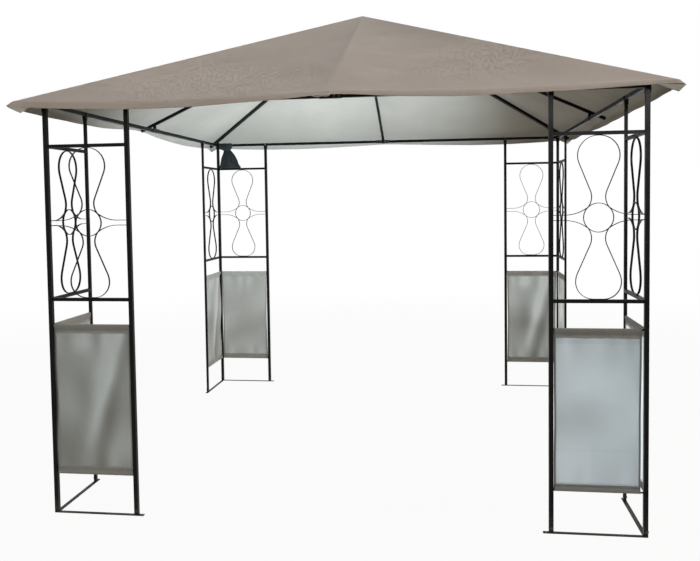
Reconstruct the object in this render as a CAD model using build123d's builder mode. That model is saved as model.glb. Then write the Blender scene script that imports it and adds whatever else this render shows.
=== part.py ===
import math
import os

from build123d import *

# Square garden gazebo, in millimetres. The origin is at the middle of its
# footprint on the ground, +Z is up and -Y is the front.

# Plan, with panel widths from the corner post to the free post
post_spacing = 2800
panel_width = 412
eave_overhang = 104

# Heights above the ground, and drops from each bar to the one below it
beam_height = 2007
top_rail_drop = 200
rail_spacing = 746
cloth_drop = 121
cloth_bottom = 195
roof_pitch = 24.455

# Steel sections
post_size = 20
slim_post_size = 15
beam_size = 20
hip_size = 20
mid_rafter_size = 18
rail_size = 16
tube_wall = 1
rod_diameter = 8
rod_sides = 8
plate = 2
joint_gap = 0.4

# Foot strips with a peg hole in each end
strip_width = 20
strip_thickness = 3
strip_overrun = 26
peg_hole_diameter = 9
peg_inset = 13

# Saddles, brackets and joiners round the beams
saddle_width = 24
saddle_skirt = 23
joiner_length = 105
upstand_size = 16
upstand_height = 15

# Hub at the top of the rafters
hub_diameter = 60
hub_depth = 46
hub_tip_diameter = 10
rafter_start = 45
spigot_length = 60
spigot_clearance = 0.3

# Ends of the rafters, measured from the middle of the roof
hip_end_margin = 17
mid_rafter_end_margin = 11

# Scrollwork of flat strip: a ring, a bulb above and below it and four arms
strip_gauge = 3
strip_depth = 10
ring_diameter = 132
upper_bulb_width = 184
upper_bulb_head = 90
lower_bulb_width = 200
lower_bulb_head = 78
neck_width = 60
neck_radius = 75
arm_spread = 24
arm_straight = 50

# Fabric
cloth_thickness = 1.5
cloth_side_gap = 4
canopy_thickness = 2.5
fabric_clearance = 0.3
valance_droop = 50
valance_end_depth = 20
pocket_length = 90
pocket_height = 45
pocket_drop = 6

# Bag tied to the beam at the back left corner
bag_length = 180
bag_thickness = 72
bag_base_length = 156
bag_base_thickness = 58
bag_belly_rise = 36
bag_shoulder_rise = 96
bag_shoulder_length = 160
bag_neck_length = 70
bag_neck_thickness = 30
bag_neck_offset = 17
bag_post_gap = 2
bag_tie_width = 60
bag_tie_thickness = 3

# Derived sizes
up = Vector(0, 0, 1)
half_spacing = post_spacing / 2
corner_radius = half_spacing * math.sqrt(2)
eave_reach = half_spacing + eave_overhang
beam_bottom = beam_height - beam_size / 2
bracket_top = beam_height + beam_size / 2 + plate
post_top = beam_bottom - plate
top_rail_height = beam_height - top_rail_drop
mid_rail_height = top_rail_height - rail_spacing
cloth_top = mid_rail_height - cloth_drop
rail_top = top_rail_height + rail_size / 2

# The roof stands on the corner brackets: upstand, hip rafter, then fabric
roof_angle = math.radians(roof_pitch)
roof_slope = math.tan(roof_angle)
hip_slope = roof_slope / math.sqrt(2)
hip_angle = math.atan(hip_slope)
hip_half_height = hip_size / 2 / math.cos(hip_angle)
mid_rafter_half_height = mid_rafter_size / 2 / math.cos(roof_angle)
canopy_drop = canopy_thickness / math.cos(roof_angle)
mid_rafter_depth = canopy_drop + fabric_clearance + mid_rafter_half_height
hip_depth = canopy_drop + fabric_clearance + hip_size / 2 * hip_slope + hip_half_height
hip_seat = bracket_top + upstand_height
apex_height = hip_seat + hip_half_height + hip_depth + hip_slope * corner_radius
eave_height = apex_height - roof_slope * eave_reach

legs = {
    "front_left": (-1, -1),
    "front_right": (1, -1),
    "back_left": (-1, 1),
    "back_right": (1, 1),
}
sides = {
    "front": Vector(0, -1, 0),
    "back": Vector(0, 1, 0),
    "left": Vector(-1, 0, 0),
    "right": Vector(1, 0, 0),
}

os.makedirs("parts", exist_ok=True)


def keep(builder, node):
    # label one finished node and write it to its file
    builder.part.label = node
    export_step(builder.part, f"parts/{node}.step")


def panel_plane(side_x, side_y, along_x):
    # plane of a panel: x runs from the corner post to the free post, y is up
    corner = Vector(side_x * half_spacing, side_y * half_spacing, 0)
    along = Vector(-side_x, 0, 0) if along_x else Vector(0, -side_y, 0)
    return Plane(origin=corner, x_dir=along, z_dir=along.cross(up))


def leg_panels(side_x, side_y):
    # the two panels of a leg, each with the size of its free post
    front_or_back = panel_plane(side_x, side_y, True)
    left_or_right = panel_plane(side_x, side_y, False)
    return [(front_or_back, post_size), (left_or_right, slim_post_size)]


def across_plane(panel, along, height):
    # plane square to a panel's length: x is across the panel, y is up
    origin = panel.from_local_coords(Vector(along, height, 0))
    return Plane(origin=origin, x_dir=-panel.z_dir, z_dir=panel.x_dir)


def radial_plane(outward):
    # upright plane from the middle of the roof: x runs outward, y is up
    return Plane(origin=(0, 0, 0), x_dir=outward, z_dir=outward.cross(up))


def square_tube(start, size, length):
    # hollow square section from the start plane along its normal
    with BuildSketch(start) as section:
        Rectangle(size, size)
        Rectangle(size - 2 * tube_wall, size - 2 * tube_wall, mode=Mode.SUBTRACT)
    extrude(section.sketch, amount=length)


def clear_width(free_size):
    return panel_width - post_size / 2 - free_size / 2


def loop_radius():
    return rod_diameter / 2 + fabric_clearance + cloth_thickness


def rod_heights():
    return cloth_top - loop_radius(), cloth_bottom + loop_radius()


def add_posts(side_x, side_y):
    corner = Vector(side_x * half_spacing, side_y * half_spacing, strip_thickness)
    height = post_top - strip_thickness
    square_tube(Plane(origin=corner), post_size, height)
    for panel, free_size in leg_panels(side_x, side_y):
        foot = corner + panel.x_dir * panel_width
        square_tube(Plane(origin=foot), free_size, height)


def add_cross_bars(panel, free_size):
    length = clear_width(free_size)
    start = post_size / 2
    for height in (top_rail_height, mid_rail_height):
        square_tube(across_plane(panel, start, height), rail_size, length)
    for height in rod_heights():
        with BuildSketch(across_plane(panel, start, height)) as rod:
            RegularPolygon(rod_diameter / 2, rod_sides)
        extrude(rod.sketch, amount=length)


def add_foot_strip(side_x, side_y):
    # an L of flat bar under the three posts
    for panel, free_size in leg_panels(side_x, side_y):
        length = panel_width + free_size / 2 + strip_overrun
        corner_plane = Plane(origin=panel.origin, x_dir=panel.x_dir, z_dir=up)
        reach = length + strip_width / 2
        middle = (length - strip_width / 2) / 2
        with BuildSketch(corner_plane) as bar:
            with Locations((middle, 0)):
                Rectangle(reach, strip_width)
            with Locations((length - peg_inset, 0)):
                Circle(peg_hole_diameter / 2, mode=Mode.SUBTRACT)
        extrude(bar.sketch, amount=strip_thickness)


def point_on(centre, radius, angle):
    return (centre[0] + radius * math.cos(angle), centre[1] + radius * math.sin(angle))


def draw_arc(centre, radius, angles, flip_x, flip_y):
    # an arc between two angles, mirrored into one quarter of the scrollwork
    middle = sum(angles) / 2
    points = [point_on(centre, radius, angle) for angle in (angles[0], middle, angles[1])]
    return ThreePointArc(*[(flip_x * x, flip_y * y) for x, y in points])


def bulb_outline(width, head, bulb_y, ring_radius, flip_y, side):
    # closed line half a gauge outside (1) or inside (-1) the middle of a bulb's strip,
    # which leaves the ring at a tangent, widens and lies flat along its rail
    offset = side * strip_gauge / 2
    bulb_radius = (width - strip_gauge) / 2
    head_radius = head - strip_gauge / 2
    flat = bulb_radius - head_radius
    neck_x = neck_width / 2 + neck_radius
    neck_y = math.sqrt((neck_radius + ring_radius) ** 2 - neck_x**2)
    span = math.hypot(neck_x, bulb_y - neck_y)
    flank = math.atan2(neck_y - bulb_y, neck_x) + math.acos((bulb_radius + neck_radius) / span)
    foot_y = neck_y * ring_radius / (neck_radius + ring_radius)
    foot = math.asin((neck_y - foot_y) / (neck_radius - offset))
    ends = []
    with BuildLine() as outline:
        for flip_x in (1, -1):
            crown = draw_arc(
                (flat, bulb_y), head_radius + offset, (math.pi / 2, 0), flip_x, flip_y
            )
            shoulder = draw_arc((0, bulb_y), bulb_radius + offset, (0, flank), flip_x, flip_y)
            neck = draw_arc(
                (neck_x, neck_y),
                neck_radius - offset,
                (math.pi + flank, math.pi + foot),
                flip_x,
                flip_y,
            )
            Line(shoulder @ 1, neck @ 0)
            ends.append((crown @ 0, neck @ 1))
        Line(ends[0][0], ends[1][0])
        Line(ends[0][1], ends[1][1])
    return outline.line


def arm_outline(half_gap, ring_radius, flip_x, flip_y):
    # closed line round an arm: straight from its post, then curving onto the ring
    bend_x = -half_gap + arm_straight
    bend_y = arm_spread / 2
    reach = math.hypot(bend_x, bend_y)
    arm_radius = (reach**2 - ring_radius**2) / (2 * (ring_radius - bend_y))
    arm_centre = (bend_x, bend_y + arm_radius)
    touch = math.atan2(-arm_centre[1], -arm_centre[0])
    ends = []
    with BuildLine() as outline:
        for offset in (-strip_gauge / 2, strip_gauge / 2):
            post_end = (-flip_x * half_gap, flip_y * (bend_y + offset))
            curve = draw_arc(
                arm_centre, arm_radius - offset, (-math.pi / 2, touch), flip_x, flip_y
            )
            Line(post_end, curve @ 0)
            ends.append((post_end, curve @ 1))
        Line(ends[0][0], ends[1][0])
        Line(ends[0][1], ends[1][1])
    return outline.line


def add_scrollwork(panel, free_size):
    # one drawing in flat strip between the two rails, centred on a ring
    lower_rail_top = mid_rail_height + rail_size / 2
    half_height = (rail_spacing - rail_size) / 2
    half_gap = clear_width(free_size) / 2
    middle = Vector(post_size / 2 + half_gap, lower_rail_top + half_height, 0)
    ring_radius = (ring_diameter - strip_gauge) / 2
    bulbs = [
        (upper_bulb_width, upper_bulb_head, half_height - upper_bulb_head, ring_radius, 1),
        (lower_bulb_width, lower_bulb_head, half_height - lower_bulb_head, ring_radius, -1),
    ]
    face = Plane(origin=panel.from_local_coords(middle), x_dir=panel.x_dir, z_dir=panel.z_dir)
    with BuildSketch(face) as drawing:
        for bulb in bulbs:
            make_face(bulb_outline(*bulb, 1).edges())
            make_face(bulb_outline(*bulb, -1).edges(), mode=Mode.SUBTRACT)
        for flip_x in (1, -1):
            for flip_y in (1, -1):
                make_face(arm_outline(half_gap, ring_radius, flip_x, flip_y).edges())
        Circle(ring_radius + strip_gauge / 2)
        Circle(ring_radius - strip_gauge / 2, mode=Mode.SUBTRACT)
    extrude(drawing.sketch, amount=strip_depth / 2, both=True)


def add_cloth(panel, free_size):
    # a fabric panel with a loop round the rod along its top and its bottom
    width = clear_width(free_size) - 2 * cloth_side_gap
    heights = rod_heights()
    edge = across_plane(panel, post_size / 2 + cloth_side_gap, 0)
    with BuildSketch(edge) as section:
        with Locations((0, sum(heights) / 2)):
            Rectangle(cloth_thickness, heights[0] - heights[1])
        with Locations(*[(0, height) for height in heights]):
            RegularPolygon(loop_radius(), rod_sides)
            RegularPolygon(loop_radius() - cloth_thickness, rod_sides, mode=Mode.SUBTRACT)
    extrude(section.sketch, amount=width)


def add_saddle(panel, free_size):
    # a sleeve on the free post's top with two cheeks round the beam
    foot = panel.origin + panel.x_dir * panel_width
    skirt = beam_bottom - saddle_skirt
    sleeve = free_size + 2 * plate
    at_skirt = Plane(origin=foot + up * skirt, x_dir=panel.x_dir, z_dir=up)
    at_web = Plane(origin=foot + up * post_top, x_dir=panel.x_dir, z_dir=up)
    at_beam = Plane(origin=foot + up * beam_bottom, x_dir=panel.x_dir, z_dir=up)
    with BuildSketch(at_skirt) as collar:
        Rectangle(sleeve, sleeve)
        Rectangle(free_size, free_size, mode=Mode.SUBTRACT)
    extrude(collar.sketch, amount=post_top - skirt)
    with BuildSketch(at_web) as web:
        Rectangle(saddle_width, beam_size + 2 * plate)
    extrude(web.sketch, amount=plate)
    with BuildSketch(at_beam) as cheeks:
        Rectangle(saddle_width, beam_size + 2 * plate)
        Rectangle(saddle_width, beam_size, mode=Mode.SUBTRACT)
    extrude(cheeks.sketch, amount=beam_size)


def hip_axis(radius):
    # height of a hip rafter's axis, which lies under the fold of the fabric
    return apex_height - hip_slope * radius - hip_depth


def mid_rafter_axis(radius):
    return apex_height - roof_slope * radius - mid_rafter_depth


def add_upstand(radial, radius, underside, slope):
    # a block from the top of a beam's sleeve to the underside of a rafter
    half = upstand_size / 2
    corners = [
        (radius - half, bracket_top),
        (radius + half, bracket_top),
        (radius + half, underside - slope * half),
        (radius - half, underside + slope * half),
    ]
    with BuildSketch(radial) as side:
        Polygon(*corners, align=None)
    extrude(side.sketch, amount=upstand_size / 2, both=True)


def add_joiner(outward):
    # sleeve over the joint in the middle of a beam, under the mid rafter
    radial = radial_plane(outward)
    with BuildSketch(radial) as section:
        with Locations((half_spacing, beam_height)):
            Rectangle(beam_size + 2 * plate, beam_size + 2 * plate)
            Rectangle(beam_size, beam_size, mode=Mode.SUBTRACT)
    extrude(section.sketch, amount=joiner_length / 2, both=True)
    underside = mid_rafter_axis(half_spacing) - mid_rafter_half_height
    add_upstand(radial, half_spacing, underside, roof_slope)


def add_corner_bracket(side_x, side_y):
    # a box over the corner post's top, open towards the two beams
    corner = Vector(side_x * half_spacing, side_y * half_spacing, 0)
    outer = beam_size + 2 * plate
    skirt = beam_bottom - saddle_skirt
    with BuildSketch(Plane(origin=corner + up * skirt)) as box:
        Rectangle(outer, outer)
    extrude(box.sketch, amount=bracket_top - skirt)
    with BuildSketch(Plane(origin=corner + up * skirt)) as socket:
        Rectangle(post_size, post_size)
    extrude(socket.sketch, amount=post_top - skirt, mode=Mode.SUBTRACT)
    with BuildSketch(Plane(origin=corner + up * beam_bottom)) as passage:
        Rectangle(beam_size, beam_size)
        with Locations((-side_x * plate, 0), (0, -side_y * plate)):
            Rectangle(beam_size, beam_size)
    extrude(passage.sketch, amount=beam_size, mode=Mode.SUBTRACT)
    radial = radial_plane(Vector(side_x, side_y, 0).normalized())
    add_upstand(radial, corner_radius, hip_seat, hip_slope)


def rafter_plane(outward, axis_height, angle):
    # start of a rafter beside the hub, with its normal along the rafter
    origin = outward * rafter_start + up * axis_height(rafter_start)
    along = outward * math.cos(angle) - up * math.sin(angle)
    return Plane(origin=origin, x_dir=outward.cross(up), z_dir=along)


def corner_directions():
    return [Vector(side_x, side_y, 0).normalized() for side_x, side_y in legs.values()]


def add_spigot(start, size):
    # a stub of the hub that reaches into a rafter
    fit = size - 2 * tube_wall - 2 * spigot_clearance
    with BuildSketch(start) as section:
        Rectangle(fit, fit)
    extrude(section.sketch, amount=spigot_length)
    extrude(section.sketch, amount=-rafter_start + hub_tip_diameter / 2)


def add_gore(outward):
    # one sloping face of the canopy, cut upright along its two hips
    radial = radial_plane(outward)
    slope = [
        (0, apex_height),
        (eave_reach, eave_height),
        (eave_reach, eave_height - canopy_drop),
        (0, apex_height - canopy_drop),
    ]
    with BuildSketch(radial) as section:
        Polygon(*slope, align=None)
    extrude(section.sketch, amount=eave_reach, both=True)
    eave_corner = eave_reach - joint_gap
    with BuildSketch(Plane(origin=(0, 0, 0), x_dir=outward, z_dir=up)) as plan:
        Polygon(
            (joint_gap, 0), (eave_reach, eave_corner), (eave_reach, -eave_corner), align=None
        )
    extrude(plan.sketch, amount=apex_height, mode=Mode.INTERSECT)


def add_valance(outward):
    # the band below one eave, with two droops between its corners and middle
    along = up.cross(outward)
    face = Plane(origin=outward * eave_reach + up * eave_height, x_dir=along, z_dir=outward)
    reach = eave_reach - joint_gap
    middle = (0, -valance_end_depth)
    with BuildSketch(face) as band:
        with BuildLine():
            Line((-reach, 0), (reach, 0))
            for flip in (1, -1):
                corner = (flip * reach, -valance_end_depth)
                Line((flip * reach, 0), corner)
                ThreePointArc(corner, (flip * reach / 2, -valance_droop), middle)
        make_face()
    extrude(band.sketch, amount=canopy_thickness)


def add_corner_pocket(side_x, side_y):
    # a patch of fabric folded round the canopy's corner
    inner = eave_reach + canopy_thickness + fabric_clearance - pocket_length / 2
    outer = inner + canopy_thickness
    height = eave_height - pocket_drop - pocket_height
    with BuildSketch(Plane.XY.offset(height)) as patch:
        with Locations((side_x * outer, side_y * outer)):
            Rectangle(pocket_length, pocket_length)
        with Locations((side_x * inner, side_y * inner)):
            Rectangle(pocket_length, pocket_length, mode=Mode.SUBTRACT)
    extrude(patch.sketch, amount=pocket_height)


# Legs, each with two panels at right angles
for leg, (side_x, side_y) in legs.items():
    panels = dict(zip((leg.split("_")[0], leg.split("_")[1]), leg_panels(side_x, side_y)))

    with BuildPart() as posts:
        add_posts(side_x, side_y)
    keep(posts, f"{leg}_posts")

    with BuildPart() as cross_bars:
        for panel, free_size in panels.values():
            add_cross_bars(panel, free_size)
    keep(cross_bars, f"{leg}_cross_bars")

    with BuildPart() as foot_strip:
        add_foot_strip(side_x, side_y)
    keep(foot_strip, f"{leg}_foot_strip")

    for place, (panel, free_size) in panels.items():
        with BuildPart() as scrollwork:
            add_scrollwork(panel, free_size)
        keep(scrollwork, f"{leg}_{place}_scrollwork")

        with BuildPart() as cloth:
            add_cloth(panel, free_size)
        keep(cloth, f"{leg}_{place}_cloth")

# Beams round the top of the posts, each in two lengths
for side, outward in sides.items():
    along = up.cross(outward)
    reach = half_spacing + (post_size / 2 if outward.Y else -beam_size / 2)
    with BuildPart() as beam:
        for direction in (along, -along):
            middle = outward * half_spacing + up * beam_height + direction * joint_gap / 2
            square_tube(Plane(origin=middle, x_dir=up, z_dir=direction), beam_size, reach - joint_gap / 2)
    keep(beam, f"{side}_beam")

with BuildPart() as beam_joiners:
    for outward in sides.values():
        add_joiner(outward)
keep(beam_joiners, "beam_joiners")

with BuildPart() as post_saddles:
    for side_x, side_y in legs.values():
        for panel, free_size in leg_panels(side_x, side_y):
            add_saddle(panel, free_size)
keep(post_saddles, "post_saddles")

with BuildPart() as corner_brackets:
    for side_x, side_y in legs.values():
        add_corner_bracket(side_x, side_y)
keep(corner_brackets, "corner_brackets")

# Rafters and the hub that carries their upper ends
with BuildPart() as hip_rafters:
    length = (eave_reach * math.sqrt(2) - hip_end_margin - rafter_start) / math.cos(hip_angle)
    for outward in corner_directions():
        square_tube(rafter_plane(outward, hip_axis, hip_angle), hip_size, length)
keep(hip_rafters, "hip_rafters")

with BuildPart() as mid_rafters:
    length = (eave_reach - mid_rafter_end_margin - rafter_start) / math.cos(roof_angle)
    for outward in sides.values():
        square_tube(rafter_plane(outward, mid_rafter_axis, roof_angle), mid_rafter_size, length)
keep(mid_rafters, "mid_rafters")

with BuildPart() as apex_hub:
    hub_radius = hub_diameter / 2
    tip_radius = hub_tip_diameter / 2
    hub_peak = apex_height - canopy_drop - fabric_clearance
    rim = hub_peak - roof_slope * hub_radius
    tip = hub_peak - roof_slope * tip_radius
    profile = [
        (0, rim - hub_depth),
        (hub_radius, rim - hub_depth),
        (hub_radius, rim),
        (tip_radius, tip),
        (0, tip),
    ]
    with BuildSketch(Plane.XZ):
        Polygon(*profile, align=None)
    revolve(axis=Axis.Z)
    for outward in corner_directions():
        add_spigot(rafter_plane(outward, hip_axis, hip_angle), hip_size)
    for outward in sides.values():
        add_spigot(rafter_plane(outward, mid_rafter_axis, roof_angle), mid_rafter_size)
keep(apex_hub, "apex_hub")

# Fabric roof with its hanging band and its corner pockets
for side, outward in sides.items():
    with BuildPart() as gore:
        add_gore(outward)
    keep(gore, f"canopy_{side}")

with BuildPart() as valance:
    for outward in sides.values():
        add_valance(outward)
keep(valance, "valance")

with BuildPart() as corner_pockets:
    for side_x, side_y in legs.values():
        add_corner_pocket(side_x, side_y)
keep(corner_pockets, "corner_pockets")

# Bag of slack cloth that sits on the top rail and is tied round the back beam
with BuildPart() as tied_bag:
    base = rail_top + fabric_clearance
    neck = beam_bottom - fabric_clearance - bag_tie_thickness
    middle = -half_spacing + post_size / 2 + bag_post_gap + bag_length / 2
    neck_middle = middle - bag_neck_offset
    sections = [
        (base, middle, bag_base_length, bag_base_thickness),
        (base + bag_belly_rise, middle, bag_length, bag_thickness),
        (base + bag_shoulder_rise, middle, bag_shoulder_length, bag_thickness),
        (neck, neck_middle, bag_neck_length, bag_neck_thickness),
    ]
    for height, x, length, thickness in sections:
        with BuildSketch(Plane(origin=(x, half_spacing, height))):
            Ellipse(length / 2, thickness / 2)
    loft(ruled=True)
    tie_inner = beam_size + 2 * fabric_clearance
    tie_outer = tie_inner + 2 * bag_tie_thickness
    with BuildSketch(Plane.YZ.offset(neck_middle - bag_tie_width / 2)):
        with Locations((half_spacing, beam_height)):
            Rectangle(tie_outer, tie_outer)
            Rectangle(tie_inner, tie_inner, mode=Mode.SUBTRACT)
    extrude(amount=bag_tie_width)
keep(tied_bag, "tied_bag")
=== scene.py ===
import bmesh
import bpy
import numpy as np
from mathutils import Matrix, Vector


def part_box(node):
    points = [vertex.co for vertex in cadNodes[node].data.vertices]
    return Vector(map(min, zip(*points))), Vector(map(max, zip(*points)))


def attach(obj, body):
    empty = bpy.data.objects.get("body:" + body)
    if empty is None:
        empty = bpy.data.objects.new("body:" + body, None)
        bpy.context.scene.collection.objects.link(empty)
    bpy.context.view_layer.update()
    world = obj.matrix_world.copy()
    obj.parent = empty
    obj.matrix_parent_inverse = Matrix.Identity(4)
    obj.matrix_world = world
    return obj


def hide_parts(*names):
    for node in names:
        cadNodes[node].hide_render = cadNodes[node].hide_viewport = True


# Square garden gazebo in metres: +Z is up, -Y is the front
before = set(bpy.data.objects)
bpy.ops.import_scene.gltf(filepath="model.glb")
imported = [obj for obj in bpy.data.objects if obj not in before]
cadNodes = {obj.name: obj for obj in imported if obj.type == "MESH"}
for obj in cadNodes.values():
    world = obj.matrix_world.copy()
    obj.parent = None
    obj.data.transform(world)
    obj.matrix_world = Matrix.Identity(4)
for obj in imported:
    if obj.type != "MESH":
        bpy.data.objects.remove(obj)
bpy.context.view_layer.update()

postSpacing = 2.8
halfSpacing = postSpacing / 2
eaveReach = 1.504
apexHeight = 2.698
roofSlope = 0.45475
eaveHeight = apexHeight - roofSlope * eaveReach
beamHeight = 2.007
# the way out of each side, in x and y
sides = {"front": (0, -1), "right": (1, 0), "back": (0, 1), "left": (-1, 0)}


# Camera at the photograph's place, with its small roll and shift. Angles are
# in radians; the focal length and the centre are in the photograph's pixels
cameraValues = {
    "place": (0.5397, -4.9052, 1.5209),
    "yaw": 0.1337,
    "pitch": -0.0484,
    "roll": -0.0138,
    "picture": (700, 561),
    "centre": (346.93, 238.40),
    "focalLength": 764.71,
    "sensor": 36,
}


def setPlace(item, right, up, back, place):
    # the item's three axes and its place are the columns of its matrix
    matrix = np.eye(4)
    matrix[:3] = np.stack([right, up, back, place], axis=1)
    item.matrix_world = Matrix(matrix.tolist())


def makeCamera():
    yaw, pitch, roll = (cameraValues[key] for key in ("yaw", "pitch", "roll"))
    forward = np.array([-np.sin(yaw) * np.cos(pitch), np.cos(yaw) * np.cos(pitch), np.sin(pitch)])
    levelRight = np.array([np.cos(yaw), np.sin(yaw), 0])
    levelUp = np.cross(levelRight, forward)
    right = levelRight * np.cos(roll) + levelUp * np.sin(roll)
    up = levelUp * np.cos(roll) - levelRight * np.sin(roll)
    width, height = cameraValues["picture"]
    centreX, centreY = cameraValues["centre"]
    lens = bpy.data.cameras.new("photoCamera")
    lens.sensor_fit = "HORIZONTAL"
    lens.sensor_width = cameraValues["sensor"]
    lens.lens = cameraValues["sensor"] * cameraValues["focalLength"] / width
    lens.shift_x = (width / 2 - centreX) / width
    lens.shift_y = (centreY - height / 2) / width
    camera = bpy.data.objects.new("photoCamera", lens)
    setPlace(camera, right, up, -forward, cameraValues["place"])
    bpy.context.scene.collection.objects.link(camera)
    bpy.context.scene.camera = camera


makeCamera()
print("camera placed")


# Shader helpers: sRGB colours made linear, and one call for each node
def colour(red, green, blue):
    channels = np.array([red, green, blue]) / 255
    linear = np.where(channels <= 0.04045, channels / 12.92, ((channels + 0.055) / 1.055) ** 2.4)
    return (*linear.tolist(), 1.0)


def startMaterial(name):
    material = bpy.data.materials.new(name)
    material.use_nodes = True
    material.node_tree.nodes.clear()
    return material, material.node_tree


def addNode(tree, kind, inputs=None, **settings):
    node = tree.nodes.new(kind)
    for key, value in settings.items():
        setattr(node, key, value)
    for key, value in (inputs or {}).items():
        if isinstance(value, bpy.types.NodeSocket):
            tree.links.new(value, node.inputs[key])
        else:
            node.inputs[key].default_value = value
    return node


def mathNode(tree, operation, first, second=0.5, third=0.5):
    inputs = {0: first, 1: second, 2: third}
    return addNode(tree, "ShaderNodeMath", inputs, operation=operation).outputs[0]


def multiply(tree, first, *others):
    for other in others:
        first = mathNode(tree, "MULTIPLY", first, other)
    return first


def noiseNode(tree, place, scale, detail=2.0, roughness=0.5):
    inputs = {"Vector": place, "Scale": scale, "Detail": detail, "Roughness": roughness}
    return addNode(tree, "ShaderNodeTexNoise", inputs).outputs["Fac"]


def rampNode(tree, value, low, high, start=0.0, end=1.0):
    # low and high of the value go to start and end, with a smooth step between
    inputs = {"Value": value, "From Min": low, "From Max": high, "To Min": start, "To Max": end}
    return addNode(tree, "ShaderNodeMapRange", inputs, interpolation_type="SMOOTHSTEP").outputs[0]


def patchNode(tree, place, scale, detail, roughness, low, high):
    # noise with soft patches: low and high of the noise go to 0 and 1
    return rampNode(tree, noiseNode(tree, place, scale, detail, roughness), low, high)


def mixColours(tree, amount, first, second):
    node = addNode(tree, "ShaderNodeMix", data_type="RGBA")
    for socket, value in ((node.inputs[0], amount), (node.inputs[6], first), (node.inputs[7], second)):
        if isinstance(value, bpy.types.NodeSocket):
            tree.links.new(value, socket)
        else:
            socket.default_value = value
    return node.outputs[2]


def finishMaterial(tree, shader):
    output = addNode(tree, "ShaderNodeOutputMaterial")
    tree.links.new(shader, output.inputs["Surface"])


# Black powder coat: fine orange peel, rubbed edges, and dust near the ground
powderCoatValues = {
    "paint": colour(10, 11, 10),
    "faded": colour(20, 21, 20),
    "bare": colour(120, 116, 108),
    "soil": colour(104, 96, 84),
    # scale, detail and roughness of each noise, and its low and high ends
    "mottlePattern": (9.0, 3.0, 0.5, 0.3, 0.7),
    "rubbedPattern": (34.0, 4.0, 0.65, 0.5, 0.68),
    "dustPattern": (22.0, 5.0, 0.7, 0.35, 0.75),
    "edge": 0.0012,
    # cosines of the turn of an edge where rubbing starts and where it is full
    "edgeTurn": (0.995, 0.9),
    "wear": 0.55,
    "dust": 0.5,
    "dustHeight": 0.16,
    "roughness": 0.36,
    "mottleRoughness": 0.14,
    "specular": 0.09,
    "peelScale": 700.0,
    "peelDepth": 0.0004,
}
stripCoatValues = dict(powderCoatValues, edge=0.0006, paint=colour(13, 14, 13), roughness=0.34)
boltCoatValues = {
    **powderCoatValues,
    "paint": colour(54, 54, 53), "faded": colour(84, 83, 80),
    "edge": 0.0004, "wear": 0.8, "roughness": 0.3,
}


def makePowderCoat(name, values):
    material, tree = startMaterial(name)
    place = addNode(tree, "ShaderNodeTexCoord").outputs["Object"]
    height = addNode(tree, "ShaderNodeSeparateXYZ", {0: place}).outputs["Z"]
    mottle = patchNode(tree, place, *values["mottlePattern"])
    paint = mixColours(tree, mottle, values["paint"], values["faded"])
    # an edge shows where the rounded normal turns away from the face's own
    faceNormal = addNode(tree, "ShaderNodeNewGeometry").outputs["Normal"]
    rounded = addNode(tree, "ShaderNodeBevel", {"Radius": values["edge"]}, samples=4).outputs[0]
    level = addNode(
        tree, "ShaderNodeVectorMath", {0: rounded, 1: faceNormal}, operation="DOT_PRODUCT",
    ).outputs["Value"]
    edge = rampNode(tree, level, *values["edgeTurn"])
    rubbed = multiply(tree, edge, patchNode(tree, place, *values["rubbedPattern"]), values["wear"])
    paint = mixColours(tree, rubbed, paint, values["bare"])
    low = rampNode(tree, height, values["dustHeight"], 0.0)
    dust = multiply(tree, low, patchNode(tree, place, *values["dustPattern"]), values["dust"])
    paint = mixColours(tree, dust, paint, values["soil"])
    rough = mathNode(tree, "MULTIPLY_ADD", mottle, values["mottleRoughness"], values["roughness"])
    peel = noiseNode(tree, place, values["peelScale"])
    bump = addNode(
        tree, "ShaderNodeBump",
        {"Strength": 0.25, "Distance": values["peelDepth"], "Height": peel, "Normal": rounded},
    ).outputs[0]
    shader = addNode(
        tree, "ShaderNodeBsdfPrincipled",
        {
            "Base Color": paint, "Roughness": rough, "Normal": bump,
            "Specular IOR Level": values["specular"],
        },
    ).outputs[0]
    finishMaterial(tree, shader)
    return material


powderCoat = makePowderCoat("powderCoat", powderCoatValues)
stripCoat = makePowderCoat("stripCoat", stripCoatValues)
boltCoat = makePowderCoat("boltCoat", boltCoatValues)


# Woven polyester: crossed threads read from the cloth's own UV map in metres,
# slow changes of tone, faint soil, and light that comes through from behind
weaveValues = {
    # a wave texture of scale 1 repeats after this many metres
    "waveLength": 0.314159,
    "unevenness": 0.4,
    # detail and roughness of each noise, and its low and high ends; the
    # scale comes first, but the tone's scale is the cloth's own
    "tonePattern": (4.0, 0.6, 0.25, 0.75),
    "fibrePattern": (260.0, 3.0, 0.7, 0.2, 0.8),
    "soilPattern": (3.1, 6.0, 0.72, 0.55, 0.85),
    "creasedPattern": (2.7, 2.0, 0.5, 0.45, 0.7),
    "swirlScale": 2.3,
    "creaseDetail": 1.5,
    "creaseWidth": 0.1,
}
# Doubled cloth: how its ends waver, how softly they fade, and what it stops
hemValues = {
    "waverScale": 38.0,
    "waver": 0.008,
    "fade": 0.0018,
    "sideFade": 0.0012,
    "sideDepth": 0.9,
    "lightStopped": 0.8,
}


def threadNode(tree, cloth, thread, direction):
    inputs = {
        "Vector": cloth, "Scale": weaveValues["waveLength"] / thread,
        "Distortion": weaveValues["unevenness"], "Detail": 1.0,
    }
    return addNode(tree, "ShaderNodeTexWave", inputs, bands_direction=direction).outputs["Fac"]


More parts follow.
